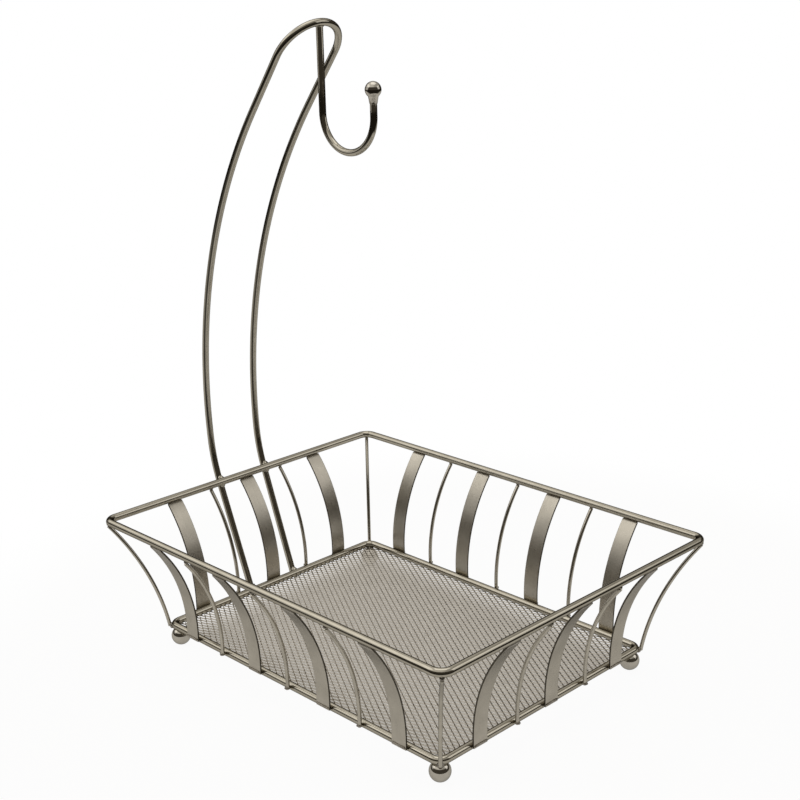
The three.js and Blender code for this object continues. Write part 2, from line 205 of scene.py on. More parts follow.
def drawn_lines():
    """Fine lines along a piece, from 0 to 1. Length and Width are a line's size in millimetres."""
    group, entry, leave = new_group("drawn_lines", {"Length": 12.0, "Width": 0.25}, ["Lines"])
    along = group.nodes.new("ShaderNodeUVMap")
    along.uv_map = "along"
    parts = group.nodes.new("ShaderNodeSeparateXYZ")
    stretched = group.nodes.new("ShaderNodeCombineXYZ")
    group.links.new(along.outputs["UV"], parts.inputs["Vector"])
    for axis, size in (("X", "Length"), ("Y", "Width")):
        in_lines = link_math(group, "DIVIDE", parts.outputs[axis], entry.outputs[size])
        group.links.new(in_lines, stretched.inputs[axis])
    lines = group.nodes.new("ShaderNodeTexNoise")
    lines.inputs["Scale"].default_value = 1
    lines.inputs["Detail"].default_value = LINE_DETAIL
    group.links.new(stretched.outputs["Vector"], lines.inputs["Vector"])
    group.links.new(map_span(group, lines.outputs["Fac"], LINE_SPAN), leave.inputs["Lines"])
    return group


lined = drawn_lines()
print("group:", lined.name)

# %% [markdown]
# ## The finishes
#
# Every piece is steel with warm nickel plating, but each kind of piece was worked in its own way
# before it was plated. One recipe makes all seven finishes: a metallic Principled shader whose colour
# drifts with the clouds and lines, and whose roughness and bump follow the lines. One shared material
# would be quicker, but then strap, wire, net and polished balls would all shine alike.

# %% One recipe for the plated finishes
LINES_IN_TONE = 0.4


def plated_finish(name, dark, light, cloud, line, roughness, bump, glancing=1.0):
    """A nickel finish: two tones, the sizes of its clouds and lines, a roughness range, a bump height
    in millimetres, and the share of the light that it still mirrors at a glancing angle."""
    material = bpy.data.materials.new(name)
    material.use_nodes = True
    tree = material.node_tree
    shader = tree.nodes["Principled BSDF"]
    shader.inputs["Metallic"].default_value = 1
    shader.inputs["Specular Tint"].default_value = (glancing, glancing, glancing, 1)
    clouds = tree.nodes.new("ShaderNodeGroup")
    clouds.node_tree = cloudy
    clouds.inputs["Size"].default_value = cloud
    lines = tree.nodes.new("ShaderNodeGroup")
    lines.node_tree = lined
    lines.inputs["Length"].default_value = line[0]
    lines.inputs["Width"].default_value = line[1]
    both = tree.nodes.new("ShaderNodeMix")
    both.inputs["Factor"].default_value = LINES_IN_TONE
    tree.links.new(clouds.outputs["Clouds"], both.inputs["A"])
    tree.links.new(lines.outputs["Lines"], both.inputs["B"])
    tone = mix_tones(tree, both.outputs["Result"], dark, light)
    tree.links.new(tone, shader.inputs["Base Color"])
    shine = map_span(tree, lines.outputs["Lines"], (0, 1), roughness)
    tree.links.new(shine, shader.inputs["Roughness"])
    relief = tree.nodes.new("ShaderNodeBump")
    relief.inputs["Distance"].default_value = bump * MM
    tree.links.new(lines.outputs["Lines"], relief.inputs["Height"])
    tree.links.new(relief.outputs["Normal"], shader.inputs["Normal"])
    return material


print("lines in the tone:", LINES_IN_TONE)

# %% The seven finishes
satin_wire = plated_finish(
    "satin_nickel_wire", dark=(0.34, 0.312, 0.253), light=(0.425, 0.392, 0.323),
    cloud=9, line=(14, 0.5), roughness=(0.07, 0.13), bump=0.001, glancing=0.3,
)
thin_satin_wire = plated_finish(
    "thin_nickel_wire", dark=(0.35, 0.322, 0.268), light=(0.47, 0.435, 0.365),
    cloud=9, line=(14, 0.4), roughness=(0.12, 0.2), bump=0.001, glancing=0.5,
)
brushed_strap = plated_finish(
    "brushed_nickel_strap", dark=(0.37, 0.342, 0.288), light=(0.49, 0.453, 0.385),
    cloud=14, line=(9, 0.7), roughness=(0.26, 0.36), bump=0.01, glancing=0.5,
)
# Painted shade: a very dark tone for the straps' sideways faces, so that their edges look shaded.
painted_shade_edge = plated_finish(
    "nickel_edge_painted_shade", dark=(0.07, 0.062, 0.05), light=(0.14, 0.125, 0.1),
    cloud=3, line=(2, 0.3), roughness=(0.4, 0.55), bump=0.01, glancing=0.4,
)
dull_net = plated_finish(
    "dull_nickel_net", dark=(0.41, 0.378, 0.331), light=(0.515, 0.479, 0.424),
    cloud=6, line=(2, 0.6), roughness=(0.18, 0.28), bump=0.004,
)
polished_ball = plated_finish(
    "polished_nickel_ball", dark=(0.42, 0.39, 0.335), light=(0.48, 0.45, 0.39),
    cloud=4, line=(5, 1.5), roughness=(0.06, 0.1), bump=0.001, glancing=0.6,
)
weld_bead = plated_finish(
    "weld_nickel", dark=(0.17, 0.153, 0.127), light=(0.32, 0.29, 0.245),
    cloud=1, line=(1, 1), roughness=(0.18, 0.34), bump=0.02,
)
print("finishes:", [material.name for material in bpy.data.materials if "nickel" in material.name])

# %% [markdown]
# ## Sweeping a section along a line
#
# Wires and straps are both stock that was bent after it was drawn or rolled, so both are a section
# swept along a line. A curve object with a bevel does this too, but it can't roll the edges of the cut
# ends, and it gives no lengthwise coordinates for the drawn lines. So a small sweep is written out,
# which carries the section along without twisting it and notes the length and the girth as UVs in
# millimetres.

# %% Build a mesh from rings of points
FACE_CORNERS = ((0, 0), (0, 1), (1, 1), (1, 0))


def new_builder():
    """An empty mesh builder with UVs that run along a piece."""
    builder = bmesh.new()
    builder.loops.layers.uv.new("along")
    return builder


def join_rings(builder, rings, uv_at):
    """Joins rings of points with smooth faces. A corner's UV follows from its ring and its side."""
    layer = builder.loops.layers.uv["along"]
    count = len(rings[0])
    for ring in range(len(rings) - 1):
        for side in range(count):
            corners = [(ring + onwards, side + around) for onwards, around in FACE_CORNERS]
            face = builder.faces.new([rings[step][turn % count] for step, turn in corners])
            face.smooth = True
            for loop, (step, turn) in zip(face.loops, corners):
                loop[layer].uv = uv_at(step, turn)


def close_ends(builder, rings, smooth):
    """Closes the first and the last ring with a face each."""
    for end in (rings[0][::-1], rings[-1]):
        builder.faces.new(end).smooth = smooth


def finished_mesh(builder, name):
    """The mesh that a builder has built."""
    mesh = bpy.data.meshes.new(name)
    builder.to_mesh(mesh)
    builder.free()
    return mesh


print("corners to a face:", len(FACE_CORNERS))

# %% Directions and stations of a sweep
EDGE_STEPS = 3


def line_directions(points, closed):
    """The direction of a line at each point, halfway between those of its two stretches there."""
    count = len(points)
    directions = []
    for index, point in enumerate(points):
        direction = Vector()
        if closed or index > 0:
            direction += (point - points[index - 1]).normalized()
        if closed or index < count - 1:
            direction += (points[(index + 1) % count] - point).normalized()
        directions.append(direction.normalized())
    return directions


def sweep_stations(points, closed, edge):
    """Where a sweep puts its section: places, directions and insets. Open ends get a rolled edge."""
    directions = line_directions(points, closed)
    stations = [(point, direction, 0) for point, direction in zip(points, directions)]
    if closed:
        return stations
    start = []
    finish = []
    for step in range(EDGE_STEPS + 1):
        angle = math.pi / 2 * step / EDGE_STEPS
        inset = edge * (1 - math.sin(angle))
        back = edge * (1 - math.cos(angle))
        start.append((points[0] + back * directions[0], directions[0], inset))
        finish.insert(0, (points[-1] - back * directions[-1], directions[-1], inset))
    return start + stations[1:-1] + finish


print("steps to a rolled edge:", EDGE_STEPS)

# %% The sweep itself
WIRE_EDGE = 0.3 * MM


def sweep(name, points, section, first_side, closed=False, edge=WIRE_EDGE):
    """A mesh of a section carried along a line without twist."""
    builder = new_builder()
    stations = sweep_stations(points, closed, edge)
    outline = section(0)
    girths = [0]
    for point, following in zip(outline, outline[1:] + outline[:1]):
        girths.append(girths[-1] + (following - point).length)
    side = first_side
    before = stations[0][0]
    length = 0
    rings = []
    lengths = []
    for place, direction, inset in stations:
        side = (side - side.dot(direction) * direction).normalized()
        up = direction.cross(side)
        around = [place + point.x * side + point.y * up for point in section(inset)]
        rings.append([builder.verts.new(corner) for corner in around])
        length += (place - before).length
        lengths.append(length)
        before = place
    if closed:
        rings.append(rings[0])
        lengths.append(length + (stations[0][0] - before).length)
    join_rings(builder, rings, lambda ring, corner: (lengths[ring] / MM, girths[corner] / MM))
    if not closed:
        close_ends(builder, rings, smooth=False)
    return finished_mesh(builder, name)


print("rolled edge of a wire's end in mm:", WIRE_EDGE / MM)

# %% Sections and placing
WIRE_SIDES = 24


def round_section(diameter):
    """A round wire's section, which can be drawn in by an inset."""
    def outline(inset):
        radius = diameter / 2 - inset
        angles = [2 * math.pi * side / WIRE_SIDES for side in range(WIRE_SIDES)]
        return [Vector((radius * math.cos(angle), radius * math.sin(angle))) for angle in angles]
    return outline


def add_piece(name, mesh, slot, finish, *nodes):
    """Puts a mesh in the scene as a piece that rides on the basket and stands for the given solids."""
    piece = bpy.data.objects.new(name, mesh)
    bpy.context.scene.collection.objects.link(piece)
    mesh.materials.append(finish)
    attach(piece, "root")
    if nodes:
        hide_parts(*nodes)


print("sides to a round wire:", WIRE_SIDES)

# %% [markdown]
# ## The rim and the base ring
#
# Each ring is one length of wire, bent round four corners and butt-welded. A rounded rectangle could
# be drawn as a Bezier curve, but its corners would only be near to circles. Here each corner is a true
# arc, and the straight sides are simply the steps between the arcs.

# %% Make the two rings
RIM_CORNER_RADIUS = 7 * MM
BASE_CORNER_RADIUS = 6 * MM
RING_CORNER_STEPS = 16
UP = Vector((0, 0, 1))
QUARTERS = ((1, 1), (-1, 1), (-1, -1), (1, -1))


def ring_line(middle, half, corner_radius):
    """The centre line of a ring with rounded corners."""
    points = []
    to_centre = half - Vector((corner_radius, corner_radius))
    for corner, (sign_x, sign_y) in enumerate(QUARTERS):
        centre = middle + Vector((sign_x * to_centre.x, sign_y * to_centre.y, 0))
        for step in range(RING_CORNER_STEPS + 1):
            angle = math.pi / 2 * (corner + step / RING_CORNER_STEPS)
            points.append(centre + corner_radius * Vector((math.cos(angle), math.sin(angle), 0)))
    return points


rim_line = ring_line(rim_middle, rim_half, RIM_CORNER_RADIUS)
base_line = ring_line(base_middle, base_half, BASE_CORNER_RADIUS)
rim_mesh = sweep("rim", rim_line, round_section(RIM_WIRE), UP, closed=True)
base_mesh = sweep("base", base_line, round_section(BASE_WIRE), UP, closed=True)
add_piece("rim", rim_mesh, "heavy_wire", satin_wire, "rim_ring")
add_piece("base", base_mesh, "heavy_wire", satin_wire, "base_ring")
print("ring faces:", len(rim_mesh.polygons), len(base_mesh.polygons))

# %% [markdown]
# ## The wall's curve
#
# Straps, thin wires and corner wires all start upright beside the base ring and bend outwards in one
# arc to the rim. The arc is found from what it has to touch: a lean at the foot, the outside of the
# base ring, and the underside of the rim near its outer side. Two handles of a Bezier curve could be
# moved until it looks right, but an arc is what a roll bender leaves, and it lands on the rings
# without trying.

# %% Work out the arc
WALL_STEPS = 30
SIDE_FOOT_LEAN = math.radians(-3.5)
SIDE_TAIL = 0.5 * MM
SIDE_TUCK = 0.7 * MM
CORNER_FOOT_LEAN = math.radians(10.5)
CORNER_TAIL = 1.6 * MM
CORNER_TUCK = 0.2 * MM


def wall_arc(reach, thickness, foot_lean, tail, tuck):
    """Points of a wall piece's middle, outwards from the base ring's centre line and up from it."""
    inside_rim = RIM_WIRE / 2 - tuck
    beside_base = BASE_WIRE / 2 + WELD_GAP + thickness / 2
    beside_rim = inside_rim + thickness / 2
    across = reach - beside_base
    bow = beside_rim + across * math.cos(foot_lean) - wall_height * math.sin(foot_lean)
    radius = (across ** 2 + wall_height ** 2 - beside_rim ** 2) / (2 * bow)
    centre = Vector((beside_base + radius * math.cos(foot_lean), -radius * math.sin(foot_lean)))
    short_of_rim = math.sqrt((RIM_WIRE / 2 + WELD_GAP) ** 2 - inside_rim ** 2)
    top_lean = math.atan2(wall_height - centre.y, centre.x - reach) - short_of_rim / radius
    points = []
    for step in range(WALL_STEPS + 1):
        lean = foot_lean + (top_lean - foot_lean) * step / WALL_STEPS
        points.append(centre + radius * Vector((-math.cos(lean), math.sin(lean))))
    foot = points[0] - tail * Vector((math.sin(foot_lean), math.cos(foot_lean)))
    return [foot] + points


def stand_up(arc, start, outwards):
    """An arc of the wall as points in space, from a place on the base ring's centre line."""
    return [start + point.x * outwards + point.y * UP for point in arc]


print("steps along the wall:", WALL_STEPS)

# %% [markdown]
# ## The flat straps
#
# A strap is slit from rolled sheet, so its section is a thin rectangle with slightly rolled edges.
# A box with a Bevel modifier would do for a straight one. Sweeping the section along the arc bends
# it without pinching, the points just inside each rolled edge keep the broad faces flat in the
# shading, and the faces that look sideways get a very dark colour, which is painted shade along the
# strap's edges.

# %% The section of a strap
STRAP_THICKNESS = 1.2 * MM
STRAP_EDGE = 0.3 * MM
STRAP_EDGE_HOLD = 0.25 * MM


def strap_section(width):
    """A flat strap's section with rolled edges, which can be drawn in by an inset."""
    def outline(inset):
        to_centre = Vector((width / 2, STRAP_THICKNESS / 2)) - Vector((1, 1)) * (inset + STRAP_EDGE)
        points = []
        for corner, (sign_x, sign_y) in enumerate(QUARTERS):
            centre = Vector((sign_x * to_centre.x, sign_y * to_centre.y))
            arc = []
            for step in range(EDGE_STEPS + 1):
                angle = math.pi / 2 * (corner + step / EDGE_STEPS)
                arc.append(centre + STRAP_EDGE * Vector((math.cos(angle), math.sin(angle))))
            hold = Vector((-sign_x * STRAP_EDGE_HOLD, 0))
            if corner % 2 == 0:
                arc.append(arc[-1] + hold)
            else:
                arc.insert(0, arc[0] + hold)
            points += arc
        return points
    return outline


print("strap thickness in mm:", STRAP_THICKNESS / MM)

# %% Make the straps
# How far a face must look sideways to take the painted shade of the strap's edges.
SHADED_EDGE_FACING = 0.6
SIDES = {
    "front": Vector((0, -1, 0)),
    "back": Vector((0, 1, 0)),
    "hanger_end": Vector((-1, 0, 0)),
    "far_end": Vector((1, 0, 0)),
}


def outwards_at_node(node):
    """The outward direction of the side of the wall that a node stands in."""
    return next(outwards for side, outwards in SIDES.items() if node.startswith(side))


def wall_start(node, outwards):
    """Where a node rises from the base ring's centre line, how far out the rim is, and its width."""
    middle, size = middle_and_size(node)
    start = Vector((middle.x, middle.y, base_middle.z))
    axis = 0 if outwards.x else 1
    start[axis] = base_middle[axis] + outwards[axis] * base_half[axis]
    return start, rim_half[axis] - base_half[axis], size[1 - axis]


strap_nodes = sorted(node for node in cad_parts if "_strap_" in node)
strap_lines = []
for node in strap_nodes:
    outwards = outwards_at_node(node)
    start, reach, width = wall_start(node, outwards)
    arc = wall_arc(reach, STRAP_THICKNESS, SIDE_FOOT_LEAN, SIDE_TAIL, SIDE_TUCK)
    line = stand_up(arc, start, outwards)
    strap_lines.append((line, width))
    sideways = outwards.cross(UP)
    mesh = sweep(node, line, strap_section(width), sideways, edge=STRAP_EDGE)
    add_piece(f"{node}_band", mesh, "strap", brushed_strap, node)
    # The sideways faces get the painted-shade colour, a dark line along each edge of the strap.
    mesh.materials.append(painted_shade_edge)
    for polygon in mesh.polygons:
        if abs(polygon.normal.dot(sideways)) > SHADED_EDGE_FACING:
            polygon.material_index = 1
print("straps:", len(strap_nodes))

# %% [markdown]
# ## The thin wires
#
# Between each two straps a thin wire rises on almost the same arc. At each corner a longer one runs
# from the base ring's corner out to the rim's. A Skin modifier on a few edges would give round wires
# too, but not of an exact thickness, so they are swept like the straps, with a round section.

# %% Make the side wires
WALL_WIRE = 2.4 * MM

wire_nodes = sorted(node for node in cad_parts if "_wire_" in node)
side_wire_nodes = [node for node in wire_nodes if not node.startswith("corner_")]
side_wire_lines = []
for node in side_wire_nodes:
    outwards = outwards_at_node(node)
    start, reach, _ = wall_start(node, outwards)
    arc = wall_arc(reach, WALL_WIRE, SIDE_FOOT_LEAN, SIDE_TAIL, SIDE_TUCK)
    line = stand_up(arc, start, outwards)
    side_wire_lines.append(line)
    mesh = sweep(node, line, round_section(WALL_WIRE), outwards.cross(UP))
    add_piece(f"{node}_rod", mesh, "thin_wire", thin_satin_wire, node)
print("side wires:", len(side_wire_nodes))

# %% Make the corner wires
CORNERS = {
    "front_hanger": (-1, -1),
    "front_far": (1, -1),
    "back_far": (1, 1),
    "back_hanger": (-1, 1),
}


def corner_middle(middle, half, corner_radius, signs):
    """The middle of a ring's rounded corner."""
    cut_back = corner_radius * (1 - math.sqrt(0.5))
    return middle + Vector((signs[0] * (half.x - cut_back), signs[1] * (half.y - cut_back), 0))


corner_lines = []
for name, signs in CORNERS.items():
    start = corner_middle(base_middle, base_half, BASE_CORNER_RADIUS, signs)
    run = corner_middle(rim_middle, rim_half, RIM_CORNER_RADIUS, signs) - start
    run.z = 0
    arc = wall_arc(run.length, WALL_WIRE, CORNER_FOOT_LEAN, CORNER_TAIL, CORNER_TUCK)
    outwards = run.normalized()
    line = stand_up(arc, start, outwards)
    corner_lines.append(line)
    mesh = sweep(name, line, round_section(WALL_WIRE), outwards.cross(UP))
    add_piece(f"corner_rod_{name}", mesh, "thin_wire", thin_satin_wire, f"corner_wire_{name}")
print("corner wires:", len(corner_lines))

# %% [markdown]
# ## The floor of expanded metal
#
# The floor is expanded metal: a sheet is slit in rows and pulled open, so that each slit becomes a
# diamond and each strand stands at a slant. The solid shows it with large diamonds; this is the fine
# one. A Wireframe modifier on a grid would give strands that lie flat. Here each diamond has its upper
# corner pushed down and its lower corner up, as the press leaves them, and flat strands and the
# knuckles where they cross are laid between the corners.

# %% Lay out the diamonds
NET_CELL_LENGTH = 6.62 * MM
NET_CELL_WIDTH = 3.98 * MM
NET_STRAND = 0.52 * MM
NET_SLANT = 0.54 * MM
NET_THICKNESS = 0.25 * MM
NET_BELOW_RING = 0.2 * MM
NET_EDGE_INSIDE = 0.3 * MM
NET_SPARE_CELLS = 2
net_middle = base_middle - (BASE_WIRE / 2 + NET_BELOW_RING) * UP
net_half = base_half - Vector((NET_EDGE_INSIDE, NET_EDGE_INSIDE))


def diamond_corners(builder):
    """The four corners of every diamond hole, by the column and row of the diamond."""
    half = Vector((NET_CELL_LENGTH / 2, NET_CELL_WIDTH / 2))
    strand_gap = 2 * half.x * half.y / half.length
    hole = half * (1 - NET_STRAND / strand_gap)
    offsets = {
        "right": Vector((hole.x, 0, 0)),
        "top": Vector((0, hole.y, -NET_SLANT)),
        "left": Vector((-hole.x, 0, 0)),
        "bottom": Vector((0, -hole.y, NET_SLANT)),
    }
    columns = math.ceil(net_half.x / half.x) + NET_SPARE_CELLS
    rows = math.ceil(net_half.y / half.y) + NET_SPARE_CELLS
    diamonds = {}
    for column in range(-columns, columns + 1):
        for row in range(-rows, rows + 1):
            if (column + row) % 2 == 0:
                middle = net_middle + Vector((column * half.x, row * half.y, 0))
                diamonds[column, row] = {
                    name: builder.verts.new(middle + offset) for name, offset in offsets.items()
                }
    return diamonds


sheet = new_builder()
diamonds = diamond_corners(sheet)
print("diamonds:", len(diamonds))

# %% Lay the strands between them
def lay_strands(builder, diamonds):
    """Lays the strands between neighbouring diamonds, and the knuckles where four of them meet."""
    for (column, row), diamond in diamonds.items():
        above_right = diamonds.get((column + 1, row + 1))
        above_left = diamonds.get((column - 1, row + 1))
        below_right = diamonds.get((column + 1, row - 1))
        beside = diamonds.get((column + 2, row))
        if above_right:
            ends = (diamond["right"], above_right["bottom"], above_right["left"], diamond["top"])
            builder.faces.new(ends)
        if above_left:
            ends = (diamond["top"], above_left["right"], above_left["bottom"], diamond["left"])
            builder.faces.new(ends)
        if above_right and below_right and beside:
            knuckle = (diamond["right"], below_right["top"], beside["left"], above_right["bottom"])
            builder.faces.new(knuckle)


lay_strands(sheet, diamonds)
print("strands and knuckles:", len(sheet.faces))

# %% Trim the net and give it its thickness
def trim(builder, place, outwards):
    """Cuts away what lies beyond a plane."""
    everything = builder.verts[:] + builder.edges[:] + builder.faces[:]
    bmesh.ops.bisect_plane(
        builder, geom=everything, plane_co=place, plane_no=outwards, clear_outer=True,
    )


for outwards in SIDES.values():
    to_edge = Vector((outwards.x * net_half.x, outwards.y * net_half.y, 0))
    trim(sheet, net_middle + to_edge, outwards)
raised = bmesh.ops.extrude_face_region(sheet, geom=sheet.faces[:], use_keep_orig=True)
for part in raised["geom"]:
    if isinstance(part, bmesh.types.BMVert):
        part.co.z += NET_THICKNESS
bmesh.ops.recalc_face_normals(sheet, faces=sheet.faces[:])
net_layer = sheet.loops.layers.uv["along"]
for face in sheet.faces:
    for loop in face.loops:
        place = loop.vert.co
        loop[net_layer].uv = (place.x / MM, (place.y + place.z) / MM)
net_mesh = finished_mesh(sheet, "floor_net")
add_piece("floor_net", net_mesh, "mesh", dull_net, "floor_mesh")
print("net faces:", len(net_mesh.polygons))

# %% [markdown]
# ## The ball feet
#
# The balls are turned and polished before they are welded on. A UV sphere would be close, but each
# foot stands on a small flat, and the ball on the hook has a neck that takes the wire. So each is an
# outline spun round its axis, as on a lathe.

# %% Spin an outline
BALL_SIDES = 48
BALL_STEPS = 28


def spin(name, outline, foot):
    """A mesh of an outline of distances and heights, spun round an upright axis at a foot."""
    builder = new_builder()
    rings = []
    for across, height in outline:
        ring = []
        for side in range(BALL_SIDES):
            angle = 2 * math.pi * side / BALL_SIDES
            reach = Vector((across * math.cos(angle), across * math.sin(angle), height))
            ring.append(builder.verts.new(foot + reach))
        rings.append(ring)
    join_rings(builder, rings, lambda ring, side: (side, outline[ring][1] / MM))
    close_ends(builder, rings, smooth=False)
    return finished_mesh(builder, name)


def ball_outline(radius, centre_height, from_angle):
    """The outline of a ball from an angle above its lowest point almost to its top."""
    outline = []
    for step in range(BALL_STEPS):
        angle = from_angle + (math.pi - from_angle) * step / BALL_STEPS
        outline.append((radius * math.sin(angle), centre_height - radius * math.cos(angle)))
    return outline


print("sides to a ball:", BALL_SIDES)

# %% Make the feet
FOOT_FLAT_DIAMETER = 3.2 * MM

for name in CORNERS:
    middle, size = middle_and_size(f"ball_foot_{name}")
    radius = size.x / 2
    flat_angle = math.asin(FOOT_FLAT_DIAMETER / 2 / radius)
    outline = ball_outline(radius, radius * math.cos(flat_angle), flat_angle)
    mesh = spin(f"foot_{name}", outline, Vector((middle.x, middle.y, 0)))
    add_piece(f"foot_{name}", mesh, "ball", polished_ball, f"ball_foot_{name}")
print("feet:", len(CORNERS), "ball diameter in mm:", round(2 * radius / MM, 2))

# %% [markdown]
# ## The hanger
#
# One length of wire makes the whole hanger: up one leg, round a half-circle at the top and down the
# other. Each leg lies against both rings, bends upright above the rim, and then sweeps in over the
# basket. A hand-drawn Bezier path could come close to it. It is built instead from the same few bends
# that the wire was given, so it stays smooth wherever the light runs along it.

# %% Bend a leg
HANGER_WIRE = 4.5 * MM
HANGER_LOWER_BEND_RADIUS = 109 * MM
HANGER_STAND_LEAN = math.radians(4.1)
HANGER_SWEEP_RADIUS = 334 * MM
HANGER_TOP_LEAN = math.radians(-37.6)
HANGER_TOP_STRAIGHT = 41.88 * MM
LOWER_BEND_STEPS = 12
SWEEP_STEPS = 60


def outwards_at(lean):
    """The direction square to a leg that leans, on its outer side."""
    return Vector((math.cos(lean), -math.sin(lean)))


def turn_inwards(points, from_lean, to_lean, radius, steps):
    """Adds an arc that turns a leg from one lean to another."""
    centre = points[-1] - radius * outwards_at(from_lean)
    for step in range(1, steps + 1):
        lean = from_lean + (to_lean - from_lean) * step / steps
        points.append(centre + radius * outwards_at(lean))


end_reach = rim_half.x - base_half.x
beside_base = (BASE_WIRE + HANGER_WIRE) / 2 + WELD_GAP
beside_rim = (RIM_WIRE + HANGER_WIRE) / 2 + WELD_GAP
foot_lean = math.atan2(end_reach, wall_height)
foot_lean += math.asin((beside_rim - beside_base) / math.hypot(end_reach, wall_height))
leg_at_base = beside_base * outwards_at(foot_lean)
leg_at_rim = Vector((end_reach, wall_height)) + beside_rim * outwards_at(foot_lean)
leg_foot = leg_at_base - BASE_WIRE / 2 * Vector((math.sin(foot_lean), math.cos(foot_lean)))
leg = [leg_foot, leg_at_base, leg_at_rim]
turn_inwards(leg, foot_lean, HANGER_STAND_LEAN, HANGER_LOWER_BEND_RADIUS, LOWER_BEND_STEPS)
turn_inwards(leg, HANGER_STAND_LEAN, HANGER_TOP_LEAN, HANGER_SWEEP_RADIUS, SWEEP_STEPS)
leg_upwards = Vector((math.sin(HANGER_TOP_LEAN), math.cos(HANGER_TOP_LEAN)))
leg_top = leg[-1] + HANGER_TOP_STRAIGHT * leg_upwards
leg.append(leg_top)
print("points along a leg:", len(leg))

# %% Join the legs with the top bend
HANGER_LEG_CLEARANCE = 8.4 * MM
HANGER_TOP_BEND_RADIUS = 23 * MM
TOP_BEND_STEPS = 40
ACROSS = Vector((0, 1, 0))
hanger_start = Vector((base_middle.x - base_half.x, 0, base_middle.z))


def hanger_place(point, sideways):
    """A point of the hanger's side view as a place in space."""
    return hanger_start + Vector((-point.x, sideways, point.y))


end_wire_middle, _ = middle_and_size("hanger_end_wire_1")
foot_half_gap = abs(end_wire_middle.y) - (WALL_WIRE + HANGER_WIRE) / 2 - HANGER_LEG_CLEARANCE
climbs = [0]
for before, after in zip(leg, leg[1:]):
    climbs.append(climbs[-1] + (after - before).length)
narrowing = (foot_half_gap - HANGER_TOP_BEND_RADIUS) / climbs[-1]
half_gaps = [foot_half_gap - narrowing * climb for climb in climbs]
back_leg = [hanger_place(point, half_gap) for point, half_gap in zip(leg, half_gaps)]
front_leg = [Vector((place.x, -place.y, place.z)) for place in reversed(back_leg)]
top_bend = []
for step in range(1, TOP_BEND_STEPS):
    angle = math.pi * step / TOP_BEND_STEPS
    rise = leg_top + HANGER_TOP_BEND_RADIUS * math.sin(angle) * leg_upwards
    top_bend.append(hanger_place(rise, HANGER_TOP_BEND_RADIUS * math.cos(angle)))
hanger_line = back_leg + top_bend + front_leg
hanger_mesh = sweep("hanger", hanger_line, round_section(HANGER_WIRE), ACROSS)
add_piece("hanger_bow", hanger_mesh, "heavy_wire", satin_wire, "hanger_arch")
print("hanger faces:", len(hanger_mesh.polygons))

# %% [markdown]
# ## The hook
#
# The hook hangs under the tip of the top bend: a straight drop, a half-circle and a short rise to its
# ball. A curve with a bevel would give the bend, but the other wires are swept, and the hook has to
# shine as they do. The ball's neck widens upwards, so that it looks pressed on.

# %% Make the hook
HOOK_WIRE = 4.3 * MM
HOOK_SET_BACK = 1.4 * MM
HOOK_DROP = 50.1 * MM
HOOK_RADIUS = 22.2 * MM
HOOK_RISE = 7.5 * MM
HOOK_BEND_STEPS = 48

bend_tip = leg_top + HANGER_TOP_BEND_RADIUS * leg_upwards
hook_top = bend_tip + Vector((HOOK_SET_BACK, -HANGER_WIRE / 2 - WELD_GAP))
hook_centre = hook_top - Vector((HOOK_RADIUS, HOOK_DROP))
hook_line = [hanger_place(hook_top, 0)]
for step in range(HOOK_BEND_STEPS + 1):
    angle = math.pi * step / HOOK_BEND_STEPS
    turn_point = hook_centre + HOOK_RADIUS * Vector((math.cos(angle), -math.sin(angle)))
    hook_line.append(hanger_place(turn_point, 0))
hook_end = hook_line[-1] + HOOK_RISE * UP
hook_line.append(hook_end)
hook_mesh = sweep("hook", hook_line, round_section(HOOK_WIRE), ACROSS)
add_piece("hook", hook_mesh, "heavy_wire", satin_wire, "hook_wire")
print("hook ends at height in mm:", round(hook_end.z / MM, 1))

# %% Make the hook's ball
HOOK_NECK_FOOT = 4.8 * MM
HOOK_NECK_TOP = 6.2 * MM
HOOK_NECK_HEIGHT = 4 * MM

_, tip_size = middle_and_size("hook_ball")
tip_radius = tip_size.x / 2
neck_angle = math.asin(HOOK_NECK_TOP / 2 / tip_radius)
tip_height = HOOK_NECK_HEIGHT + tip_radius * math.cos(neck_angle)
tip_outline = [(HOOK_NECK_FOOT / 2, 0)] + ball_outline(tip_radius, tip_height, neck_angle)
tip_mesh = spin("hook_tip", tip_outline, hook_end + WELD_GAP * UP)
add_piece("hook_tip", tip_mesh, "ball", polished_ball, "hook_ball")
print("hook's ball diameter in mm:", round(2 * tip_radius / MM, 2))

# %% [markdown]
# ## The welds
#
# Where two pieces meet, a little molten metal has run into the crevice and set, and the plating covers
# it. Metaballs would melt the joint together, but they are slow and hard to place. Here each weld is a
# lumpy bead with three half-axes: long ones lie along the straps, and small round ones sit between two
# wires.

# %% Shape a bead
BEAD_STEPS = 14
BEAD_SIDES = 12
BEAD_END = 0.02
BEAD_LUMP_SIZE = 1.3 * MM
BEAD_LUMPS = 0.22
ROUND_ENDED = 2
SQUARE_ENDED = 8


def add_bead(builder, middle, length, width, depth, ends=ROUND_ENDED):
    """Adds a lumpy bead with the given half-axes. Square ends keep their width almost to the tip."""
    rings = []
    for step in range(BEAD_STEPS + 1):
        along = -math.cos(math.pi * (BEAD_END + (1 - 2 * BEAD_END) * step / BEAD_STEPS))
        girth = math.sqrt(1 - abs(along) ** ends)
        ring = []
        for side in range(BEAD_SIDES):
            angle = 2 * math.pi * side / BEAD_SIDES
            reach = along * length + girth * (math.cos(angle) * width + math.sin(angle) * depth)
            swell = 1 + BEAD_LUMPS * noise.noise((middle + reach) / BEAD_LUMP_SIZE)
            ring.append(builder.verts.new(middle + swell * reach))
        rings.append(ring)
    join_rings(builder, rings, lambda ring, side: (ring, side))
    close_ends(builder, rings, smooth=True)


